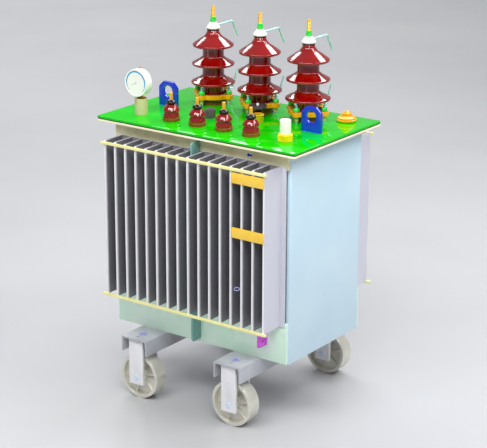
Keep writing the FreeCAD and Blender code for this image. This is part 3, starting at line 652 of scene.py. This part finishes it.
# --- Base discs -------------------------------------------------------------------------
# A disc of pressed insulating board under every bushing spreads the clamping load and
# seals the hole in the cover. Machined board, varnished.
# Varnished board: warm brown, slightly fibrous, medium gloss that picks up the green.
varnished_board = coated("varnished_pressed_insulating_board", "#7A4812", "#8C5618", 14, 2, 0.12,
                         (0.22, 0.34))
low, high = span("bushing_base_discs")
tall = []
for number in (1, 2, 3):
    body_low, body_high = span("hv_porcelain_%d" % number)
    middle = (body_low + body_high) / 2
    tall.append(Vector((middle.x, middle.y, cover)))
short = []
body_low, body_high = span("lv_porcelain")
for number in range(4):
    x = body_low.x + 32 + number * (body_high.x - body_low.x - 64) / 3
    short.append(Vector((x, (body_low.y + body_high.y) / 2, cover)))
shape = bmesh.new()
for spot in tall:
    turned(shape, [(0, 0, 0), (54, 0, 1), (54, 15, 2.5), (0, 15, 0)], spot)
for spot in short:
    turned(shape, [(0, 0, 0), (33.5, 0, 1), (34, 14, 2.5), (0, 15, 0)], spot)
make("board_discs", shape, varnished_board, ["bushing_base_discs"])


# --- High-voltage porcelain -------------------------------------------------------------
# Three hollow porcelain bushings, turned from clay, glazed and fired: a plain foot, three
# umbrella sheds with drip edges and a flared neck. Held down by the clamp rings.
# Fired glaze: dark ox-blood red, deep and wet, with hard white reflections.
ox_blood = coated("ox_blood_glaze_on_fired_porcelain", "#860202", "#900404", 110, 12, 0.015,
                  (0.03, 0.06), {"IOR": 1.55, "Coat Weight": 1.0, "Coat Roughness": 0.02})
for number, spot in enumerate(tall, 1):
    steps = [(0, 15, 0), (54, 15, 2), (54, 25, 4), (46, 30, 6), (43, 44, 8), (43, 70, 6)]
    for shed in range(3):
        base = 80 + 75 * shed
        reach = 88 - 3 * shed
        steps += [(44.5 - shed, base - 3, 7), (64, base + 3, 8), (reach - 6, base - 0.5, 3),
                  (reach, base + 1, 4), (reach, base + 9, 4)]
        if shed < 2:
            steps += [(reach - 12, base + 15, 12), (56, base + 25, 14), (44 - shed, base + 35, 8)]
    steps += [(73, 246, 12), (56, 258, 20), (37, 270, 14), (27, 283, 12), (22.5, 295.5, 1),
              (0, 296, 0)]
    shape = bmesh.new()
    lathe(shape, soften(steps, closed=False, steps=5), spot, count=72)
    make("tall_bushing_%d" % number, shape, ox_blood, ["hv_porcelain_%d" % number])


# --- Clamp rings ------------------------------------------------------------------------
# A cast ring with four rounded corners grips each bushing's foot through a rubber packing.
# Four studs from the cover pass through it, each with a spacer below and a nut on top.
# Gloss orange enamel over a casting: warm amber with soft lumps in its reflections.
orange_enamel = coated("orange_gloss_enamel_on_casting", "#E89E00", "#F6AE08", 26, 7, 0.14,
                       (0.14, 0.24), {"IOR": 1.55, "Coat Weight": 0.5, "Coat Roughness": 0.08})
low, high = span("hv_clamp_rings")
rise, top = low.z - cover, high.z - cover
outline = []
stud_radius = 77
for step in range(144):
    angle = math.tau * step / 144
    off = (angle + math.pi / 4) % (math.pi / 2) - math.pi / 4
    lobe = 17 ** 2 - (stud_radius * math.sin(off)) ** 2
    reach = stud_radius * math.cos(off) + math.sqrt(lobe) if lobe > 0 else 0
    reach = max(reach, 76)
    outline.append((reach * math.cos(angle), reach * math.sin(angle)))
shape = bmesh.new()
packing = bmesh.new()
for spot in tall:
    turn = Matrix.Translation(spot)
    plate(shape, [outline, circle(57, 48)], rise, top, turn, edge=2, steps=3)
    section = soften([(44, rise - 1, 1), (57, rise - 1, 1), (57, rise + 9, 3), (44, rise + 12, 2)])
    lathe(packing, section, spot, closed=True)
make("cast_clamps", shape, orange_enamel, ["hv_clamp_rings"])
make("clamp_packing", packing, nitrile)
# Teal-passivated zinc studs, green nuts, red fibre washers, khaki-chromated spacers.
teal_zinc = coated("teal_passivated_zinc_on_rolled_thread", "#78C8C2", "#92DCD6", 9, 1.5, 0.10,
                   (0.22, 0.34), {"Metallic": 0.25})
green_zinc = coated("green_chromated_zinc_on_pressed_nut", "#2BDC38", "#3CF058", 9, 1.5, 0.06,
                    (0.20, 0.30), {"Metallic": 0.1})
red_fibre = coated("red_vulcanised_fibre_washer", "#C62A10", "#DA3A1C", 6, 1.2, 0.15, (0.40, 0.55))
khaki_zinc = coated("khaki_chromated_zinc_turned_spacer", "#B4B474", "#C8C888", 8, 1.5, 0.08,
                    (0.25, 0.36), {"Metallic": 0.2})
low, high = span("hv_clamp_bolts")
stud_top, pitch = high.z - cover, 1.5
studs, nuts, washers, spacers = bmesh.new(), bmesh.new(), bmesh.new(), bmesh.new()
for spot in tall:
    for k in range(4):
        angle = math.tau * k / 4
        foot = spot + stud_radius * Vector((math.cos(angle), math.sin(angle), 0))
        steps = [(0, 0), (5, 0)]
        for turn in range(int((stud_top - top - 4) / pitch)):
            steps += [(5, top + 2 + pitch * turn), (4.3, top + 2 + pitch * (turn + 0.5))]
        lathe(studs, steps + [(4.2, stud_top), (0, stud_top)], foot, count=16)
        steps = [(5, top, 0), (12.5, top, 0.4), (12.5, top + 2, 0.6), (5, top + 2, 0)]
        lathe(washers, soften(steps), foot, closed=True, count=28)
        steps = [(5, top + 2), (11.4, top + 2), (12, top + 3), (12, top + 13), (10.4, top + 15),
                 (5, top + 15)]
        spin = Matrix.Rotation(0.4 + 0.7 * k, 3, "Z")
        lathe(nuts, steps, foot, spin, count=6, closed=True)
        steps = [(5, rise - 19, 0), (8, rise - 19, 1), (8, rise, 1), (5, rise, 0)]
        lathe(spacers, soften(steps), foot, closed=True, count=24)
make("clamp_studs", studs, teal_zinc, ["hv_clamp_bolts"])
make("clamp_nuts", nuts, green_zinc)
make("clamp_washers", washers, red_fibre)
make("clamp_spacers", spacers, khaki_zinc)


# --- High-voltage terminals -------------------------------------------------------------
# A spun cap seals the neck of each tall bushing on a thin rubber ring; the conductor's
# threaded end stands out of it with two lock nuts.
# Ivory enamel on spun metal: creamy white, smooth, softly shaded.
ivory_enamel = coated("ivory_satin_enamel_on_spun_cap", "#FBF8E8", "#FFFFF2", 30, 5, 0.04,
                      (0.28, 0.38))
# Turned brass, lacquered: warm amber-yellow, fine lathe rings, soft bright streak.
amber_brass = coated("amber_lacquered_turned_brass", "#F2B030", "#FFC24A", 10, 1.5, 0.06,
                     (0.24, 0.34), {"Metallic": 0.25})
low, high = span("hv_terminal_caps")
cap_low, cap_top = low.z - cover, high.z - cover
stem_top = span("hv_terminals")[1].z - cover
caps, seals, stems, locks = bmesh.new(), bmesh.new(), bmesh.new(), bmesh.new()
for spot in tall:
    section = soften([(16, cap_low - 1, 0), (24.5, cap_low - 1, 1), (24.5, cap_low + 4, 1),
                      (16, cap_low + 4, 0)])
    lathe(seals, section, spot, closed=True)
    steps = [(0, cap_low + 4, 0), (24, cap_low + 4, 2), (29, cap_low + 9, 4),
             (25, cap_low + 15, 6), (15.5, cap_top - 3, 8), (14, cap_top + 0.5, 1),
             (0, cap_top + 0.5, 0)]
    turned(caps, steps, spot)
    steps = [(0, cap_top), (8, cap_top), (8, cap_top + 24)]
    for turn in range(int((stem_top - cap_top - 28) / 2)):
        steps += [(8, cap_top + 24 + 2 * turn), (7.4, cap_top + 25 + 2 * turn)]
    lathe(stems, steps + [(7.4, stem_top - 1.2), (6.4, stem_top), (0, stem_top)], spot, count=28)
    for level in (0.5, 12.5):
        bottom = cap_top + level
        steps = [(8, bottom), (11.2, bottom), (12, bottom + 1.2), (12, bottom + 9.8),
                 (11.2, bottom + 11), (8, bottom + 11)]
        spin = Matrix.Rotation(0.62 + 0.05 * level, 3, "Z")
        lathe(locks, steps, spot, spin, count=6, closed=True)
make("spun_caps", caps, ivory_enamel, ["hv_terminal_caps"])
make("cap_seals", seals, nitrile)
make("conductor_ends", stems, amber_brass, ["hv_terminals"])
make("lock_nuts", locks, green_zinc)


# --- Arcing horns -----------------------------------------------------------------------
# Two bent 8 mm rods behind each bushing, one from its cap and one from its clamp ring, so
# that a surge jumps between their tips and not over the glaze. Galvanised, pale teal.
# Zinc wash on bent rod: pale green-blue, softly metallic, a little uneven.
pale_zinc = coated("pale_teal_zinc_wash_on_bent_rod", "#A4E0D4", "#C4F4EA", 22, 3, 0.10,
                   (0.24, 0.36), {"Metallic": 0.35})
low, high = span("arcing_horns")
shape = bmesh.new()
for spot in tall:
    reach = high.y
    for start, level, tip in ((spot.y + 24, cap_low + 15, 246), (spot.y + 90, rise + 8.5, 108)):
        knee = reach - 42
        route = soften([(start, level, 0), (knee, level, 12), (reach - 3.6, tip, 0)],
                       closed=False, steps=6)
        path = [(spot.x, point[0], cover + point[1]) for point in route]
        tube(shape, path, 4, 14)
        collar = Matrix.Rotation(-math.pi / 2, 3, "X")
        at = Vector((spot.x, start, cover + level))
        turned(shape, [(0, -2, 0), (6, -2, 1), (6, 5, 1), (0, 5, 0)], at, turn=collar, count=20)
make("horn_rods", shape, pale_zinc, ["arcing_horns"])


# --- Low-voltage bushings ---------------------------------------------------------------
# Four short bushings of the same glazed porcelain, each with two bell-shaped sheds, a
# black moulded cap and a plain brass conductor that takes a cable lug.
# Moulded phenolic: black, mirror-like on its rounded rim.
phenolic = coated("black_moulded_phenolic", "#0B0B0C", "#151517", 20, 3, 0.03, (0.08, 0.14),
                  {"IOR": 1.6})
cap_low = span("lv_terminal_caps")[0].z - cover
cap_top = span("lv_terminal_caps")[1].z - cover
stem_top = span("lv_terminals")[1].z - cover
bells, caps, stems = bmesh.new(), bmesh.new(), bmesh.new()
for spot in short:
    steps = [(0, 14, 0), (30, 14, 1), (31.5, 17, 2), (32, 21, 3), (29, 30, 8), (26.5, 36, 3),
             (30, 37, 2), (32, 39.5, 2), (32, 43, 4), (27, 53, 12), (19, 63.5, 3), (0, 64, 0)]
    lathe(bells, soften(steps, closed=False, steps=5), spot)
    steps = [(0, cap_low, 0), (15, cap_low, 2), (19, cap_low + 4, 5), (18.5, cap_low + 11, 6),
             (12, cap_top - 2, 4), (7.5, cap_top, 1), (0, cap_top, 0)]
    turned(caps, steps, spot)
    steps = [(0, cap_top - 2, 0), (6.5, cap_top - 2, 0), (6.5, stem_top, 1.2), (0, stem_top, 0)]
    turned(stems, steps, spot, count=28)
make("short_bushings", bells, ox_blood, ["lv_porcelain"])
make("moulded_caps", caps, phenolic, ["lv_terminal_caps"])
make("short_conductors", stems, amber_brass, ["lv_terminals"])


# --- Thermometer ------------------------------------------------------------------------
# A dial thermometer whose stem stands in an oil-filled steel pocket welded to the cover.
# Spun white case, printed face with a blue scale band, brass adjusting knob on top.
# Khaki enamel on tube: warm pale olive, satin, with a soft vertical highlight.
khaki_tube = coated("khaki_satin_enamel_on_steel_tube", "#C6BE8A", "#D4CC9C", 30, 5, 0.06,
                    (0.20, 0.30))
pocket, tall_by = on_cover("thermometer_pocket")
shape = bmesh.new()
steps = [(0, 0, 0), (26, 0, 0.5), (26, tall_by, 1.2), (22, tall_by, 1.2), (22, 4, 1), (0, 4, 0)]
turned(shape, steps, pocket)
make("stem_pocket", shape, khaki_tube, ["thermometer_pocket"])
# White stove enamel: clean, bright, glossy, greys only where it turns away.
white_stove = coated("white_stove_enamel_on_spun_case", "#F8FAF0", "#FFFFF8", 60, 6, 0.03,
                     (0.12, 0.20), {"IOR": 1.5})
low, high = span("dial_thermometer")
dial = Vector((pocket.x, low.y + 42, cover + 128))
shape = bmesh.new()
steps = [(0, 0, 0), (44, 0, 4), (52.5, 4, 5), (54, 12, 3), (54, 42, 1.6), (50.5, 42, 0.8),
         (50, 40.6, 0.3), (0, 40.6, 0)]
turned(shape, steps, dial, turn=facing, count=72)
make("dial_case", shape, white_stove, ["dial_thermometer"])
# Screen-printed inks: the blue band is flat and dense, the ticks and hand a faint grey.
blue_ink = coated("blue_screen_printed_ink", "#0E93D0", "#1AA2DC", 12, 1.5, 0.04, (0.30, 0.40))
grey_ink = coated("grey_screen_printed_ink", "#B9BDB4", "#C6CAC0", 12, 1.5, 0.04, (0.35, 0.45))
front = Matrix.Translation(dial) @ facing.to_4x4()
shape = bmesh.new()
band = []
for step in range(49):
    angle = math.radians(225 - 270 * step / 48)
    half = 2.6 * min(1, (step + 2) / 12, (50 - step) / 12)
    band.append((math.cos(angle), math.sin(angle), half))
outline = [((45 + half) * x, (45 + half) * y) for x, y, half in band]
outline += [((45 - half) * x, (45 - half) * y) for x, y, half in reversed(band)]
plate(shape, [outline], 40.4, 41.0, front, edge=0)
make("scale_band", shape, blue_ink)
shape = bmesh.new()
for step in range(11):
    angle = Matrix.Rotation(math.radians(225 - 27 * step), 4, "Z")
    tick = [(36, -0.3), (40, -0.3), (40, 0.3), (36, 0.3)]
    plate(shape, [tick], 40.4, 40.9, front @ angle, edge=0)
angle = Matrix.Rotation(math.radians(205), 4, "Z")
hand = [(-6, -0.9), (26, -0.3), (26, 0.3), (-6, 0.9)]
plate(shape, [hand], 41.1, 41.6, front @ angle, edge=0.1)
steps = [(0, 40.4, 0), (2.6, 40.4, 0), (2.6, 42, 1), (0, 42, 0)]
turned(shape, steps, dial, turn=facing, count=20)
make("scale_marks", shape, grey_ink)
# Brass, lacquered gold: darker and redder than the terminals.
gold_brass = coated("gold_lacquered_turned_brass", "#B97A0E", "#CE8E18", 8, 1.2, 0.08,
                    (0.22, 0.32), {"Metallic": 0.5})
shape = bmesh.new()
lathe(shape, [(0, 4), (7, 4), (7, 78), (0, 78)], pocket, count=24)
lathe(shape, [(0, tall_by - 14), (14, tall_by - 14), (15, tall_by - 12), (15, tall_by + 3),
              (13, tall_by + 5), (0, tall_by + 5)], pocket, count=6)
rise_by = high.z - cover - 7
steps = [(0, 168, 0), (4, 168, 0), (4, rise_by - 8, 1), (7, rise_by - 7, 1), (7, rise_by - 1, 2),
         (0, rise_by, 0)]
turned(shape, steps, pocket, count=24)
make("stem_and_knob", shape, gold_brass)


# --- Filler -----------------------------------------------------------------------------
# The oil filler: a hexagon boss screwed into the cover and a short tube with a pressed lid.
# Yellow passivated zinc on hexagon bar: warm yellow flats that shade to orange.
yellow_zinc = coated("yellow_passivated_zinc_on_hexagon_bar", "#EFD400", "#FFE620", 26, 3, 0.06,
                     (0.18, 0.28), {"Metallic": 0.05})
spot, tall_by = on_cover("filler_base")
shape = bmesh.new()
steps = [(0, 0), (31, 0), (32, 1), (32, tall_by - 3), (28.5, tall_by), (0, tall_by)]
lathe(shape, steps, spot, count=6)
lathe(shape, soften([(21, tall_by - 1, 0), (24, tall_by - 1, 0), (23, tall_by + 2, 1),
                     (21, tall_by + 2, 0)]), spot, closed=True)
make("hexagon_boss", shape, yellow_zinc, ["filler_base"])
ivory_tube = coated("ivory_satin_enamel_on_steel_tube", "#F6F3E4", "#FFFDF0", 24, 4, 0.04,
                    (0.24, 0.34))
top = span("filler_tube")[1].z - cover
shape = bmesh.new()
steps = [(0, tall_by, 0), (21, tall_by, 0), (21, top - 1, 2), (17, top, 1.5), (16, top - 2, 1),
         (0, top - 2, 0)]
turned(shape, steps, spot)
make("filler_neck", shape, ivory_tube, ["filler_tube"])


# --- Relief valve -----------------------------------------------------------------------
# The pressure relief valve: a stepped cast body bolted down over its port, with a winged
# cap that is turned by hand to vent it. Gloss orange enamel.
bright_orange = coated("bright_orange_gloss_enamel_on_turned_casting", "#F4A400", "#FFB808", 22, 5,
                       0.08, (0.12, 0.20), {"IOR": 1.55, "Coat Weight": 0.5})
spot, tall_by = on_cover("relief_valve")
shape = bmesh.new()
steps = [(0, 0, 0), (36, 0, 1), (39, 3, 1), (39, 9, 1.5), (33, 9.5, 0.5), (33, 11, 0.5),
         (35, 12, 0.8), (35, 16, 1.2), (28, 18, 0.8), (26, 22, 1), (15, 22.5, 0.8), (15, 27, 1),
         (18.5, 29, 1), (18.5, 32, 1), (11, 33, 1), (6, tall_by - 1, 2), (0, tall_by, 0)]
turned(shape, steps, spot)
for k in range(3):
    turn = Matrix.Translation(spot) @ Matrix.Rotation(math.tau * k / 3 + 0.35, 4, "Z") @ upright
    outline = [(2, 24, 0), (18, 24, 2), (19, 30, 2), (15, 38, 3), (6, 35, 3), (2, 40, 1)]
    plate(shape, [soften(outline)], -2.5, 2.5, turn, edge=1.2)
make("vent_valve", shape, bright_orange, ["relief_valve"])


# --- Spare pocket and boss --------------------------------------------------------------
# A second, empty thermometer pocket with a rolled rim, and a plain blanked boss beside the
# bushings. Both are steel turnings welded to the cover.
olive_enamel = coated("olive_gloss_enamel_on_turned_steel", "#A4A400", "#B8B60C", 20, 4, 0.06,
                      (0.16, 0.26))
rim_orange = coated("orange_gloss_enamel_on_rolled_rim", "#FF9A00", "#FFAA10", 12, 3, 0.05,
                    (0.14, 0.22))
spot, tall_by = on_cover("spare_pocket")
shape = bmesh.new()
steps = [(0, 0, 0), (21.5, 0, 0.5), (21.5, tall_by - 3, 0.5), (19.5, tall_by - 3, 0.5),
         (19.5, 5, 1), (0, 5, 0)]
turned(shape, steps, spot)
make("empty_pocket", shape, olive_enamel, ["spare_pocket"])
shape = bmesh.new()
steps = [(19.5, tall_by - 4, 1), (23, tall_by - 4, 1.6), (23, tall_by, 1.6), (19.5, tall_by, 1)]
lathe(shape, soften(steps), spot, closed=True)
make("pocket_rim", shape, rim_orange)
slate_enamel = coated("slate_green_enamel_on_turned_steel", "#4A4A46", "#5C4E5A", 18, 4, 0.08,
                      (0.22, 0.34))
spot, tall_by = on_cover("blank_boss")
shape = bmesh.new()
steps = [(0, 0, 0), (22, 0, 0.5), (22, tall_by, 1.8), (18, tall_by, 1), (17, tall_by - 2, 1),
         (0, tall_by - 2, 0)]
turned(shape, steps, spot)
make("blanked_boss", shape, slate_enamel, ["blank_boss"])


# --- Tap changer ------------------------------------------------------------------------
# The off-load tap changer's handle: a flanged bush bolted to the cover and a dark handwheel
# with a locating pin that turns on its spindle through five positions.
spot, bush_top = on_cover("tap_changer_base")
shape = bmesh.new()
steps = [(8.1, 4, 0), (8.3, 0, 0), (27, 0, 0.5), (27, 12, 2), (21, 14, 2), (20, bush_top, 1),
         (8.1, bush_top, 0.5)]
lathe(shape, soften(steps), spot, closed=True)
for k in range(4):
    angle = math.tau * k / 4 + 0.5
    screw = spot + Vector((23.5 * math.cos(angle), 23.5 * math.sin(angle), 12.5))
    lathe(shape, [(0, 0), (3, 0), (3, 2), (2, 3), (0, 3)], screw, count=6)
make("tap_bush", shape, phenolic, ["tap_changer_base"])
# Moulded handwheel in dark mauve-grey phenolic, glossy on its rounded rim.
mauve_phenolic = coated("mauve_grey_moulded_phenolic", "#3C343C", "#50464E", 18, 3, 0.05,
                        (0.12, 0.20), {"IOR": 1.6})
low, high = span("tap_changer_knob")
wheel_low = high.z - 17 - cover
rim = []
for step in range(96):
    angle = math.tau * step / 96
    reach = 35.2 + 0.8 * math.cos(16 * angle)
    rim.append((reach * math.cos(angle), reach * math.sin(angle)))
shape = bmesh.new()
plate(shape, [rim], wheel_low, wheel_low + 10, Matrix.Translation(spot), edge=1.6, steps=3)
lathe(shape, [(0, 14), (8, 14), (8, wheel_low + 1), (0, wheel_low + 1)], spot, count=32)
make("tap_handwheel", shape, mauve_phenolic, ["tap_changer_knob"], "tap_knob")
shape = bmesh.new()
steps = [(0, wheel_low + 9, 0), (5, wheel_low + 9, 0), (5, wheel_low + 17, 1.5),
         (0, wheel_low + 17, 0)]
turned(shape, steps, spot, count=24)
make("tap_pin", shape, white_stove, body="tap_knob")


# --- Studio -----------------------------------------------------------------------------
# A plain painted floor, a dim even sky, four large soft boxes and one camera. None of it is
# part of the transformer; the fourth box lights the floor behind it.
# Silk emulsion on a smooth slab: pale grey, broad faint clouds, a soft sheen.
floor_paint = coated("pale_grey_emulsion_on_smooth_slab", "#BCBDC0", "#C4C5C7", 1800, 900, 0.01,
                     (0.18, 0.24), {"IOR": 1.45})
mesh = bpy.data.meshes.new("floor")
reach = 30
mesh.from_pydata([(-reach, -reach, 0), (reach, -reach, 0), (reach, reach, 0),
                  (-reach, reach, 0)], [], [(0, 1, 2, 3)])
mesh.materials.append(floor_paint)
ground = bpy.data.objects.new("floor", mesh)
bpy.context.scene.collection.objects.link(ground)
sky = bpy.data.worlds.new("studio")
bpy.context.scene.world = sky
sky.use_nodes = True
backdrop = sky.node_tree.nodes["Background"]
backdrop.inputs["Color"].default_value = linear("#EDEEF2")
backdrop.inputs["Strength"].default_value = 0.33
for name, spot, aim, wide, deep, power in (
        ("front_box", (0.97, -2.85, 4.34), (0, 0, 0.9), 5.0, 1.6, 205),
        ("right_box", (3.6, 0.92, 4.34), (0, 0, 0.8), 3.5, 1.6, 108),
        ("back_box", (0.43, 2.98, 4.34), (0, 0, 1.0), 3.5, 1.6, 130),
        ("floor_box", (-7.0, 5.5, 7.5), (-6.2, 5.8, 0), 8.0, 6.0, 760)):
    lamp = bpy.data.lights.new(name, "AREA")
    lamp.shape = "RECTANGLE"
    lamp.size, lamp.size_y, lamp.energy = wide, deep, power
    lamp_object = bpy.data.objects.new(name, lamp)
    lamp_object.location = spot
    lamp_object.rotation_euler = (Vector(aim) - Vector(spot)).to_track_quat("-Z", "Y").to_euler()
    bpy.context.scene.collection.objects.link(lamp_object)
azimuth, elevation, roll = math.radians(35.83), math.radians(18.02), math.radians(0.206)
aim = Vector((0.0266, 0.0, 0.6815))
away = Vector((math.sin(azimuth) * math.cos(elevation), -math.cos(azimuth) * math.cos(elevation),
               math.sin(elevation)))
lens = bpy.data.cameras.new("studio_camera")
lens.lens, lens.sensor_width, lens.clip_end = 128.16, 36.0, 200.0
camera = bpy.data.objects.new("studio_camera", lens)
distance = 6.820
camera.location = aim + away * distance
turn = (-away).to_track_quat("-Z", "Y") @ Matrix.Rotation(roll, 3, "Z").to_quaternion()
camera.rotation_euler = turn.to_euler()
bpy.context.scene.collection.objects.link(camera)
bpy.context.scene.camera = camera
bpy.context.scene.view_settings.view_transform = "Standard"
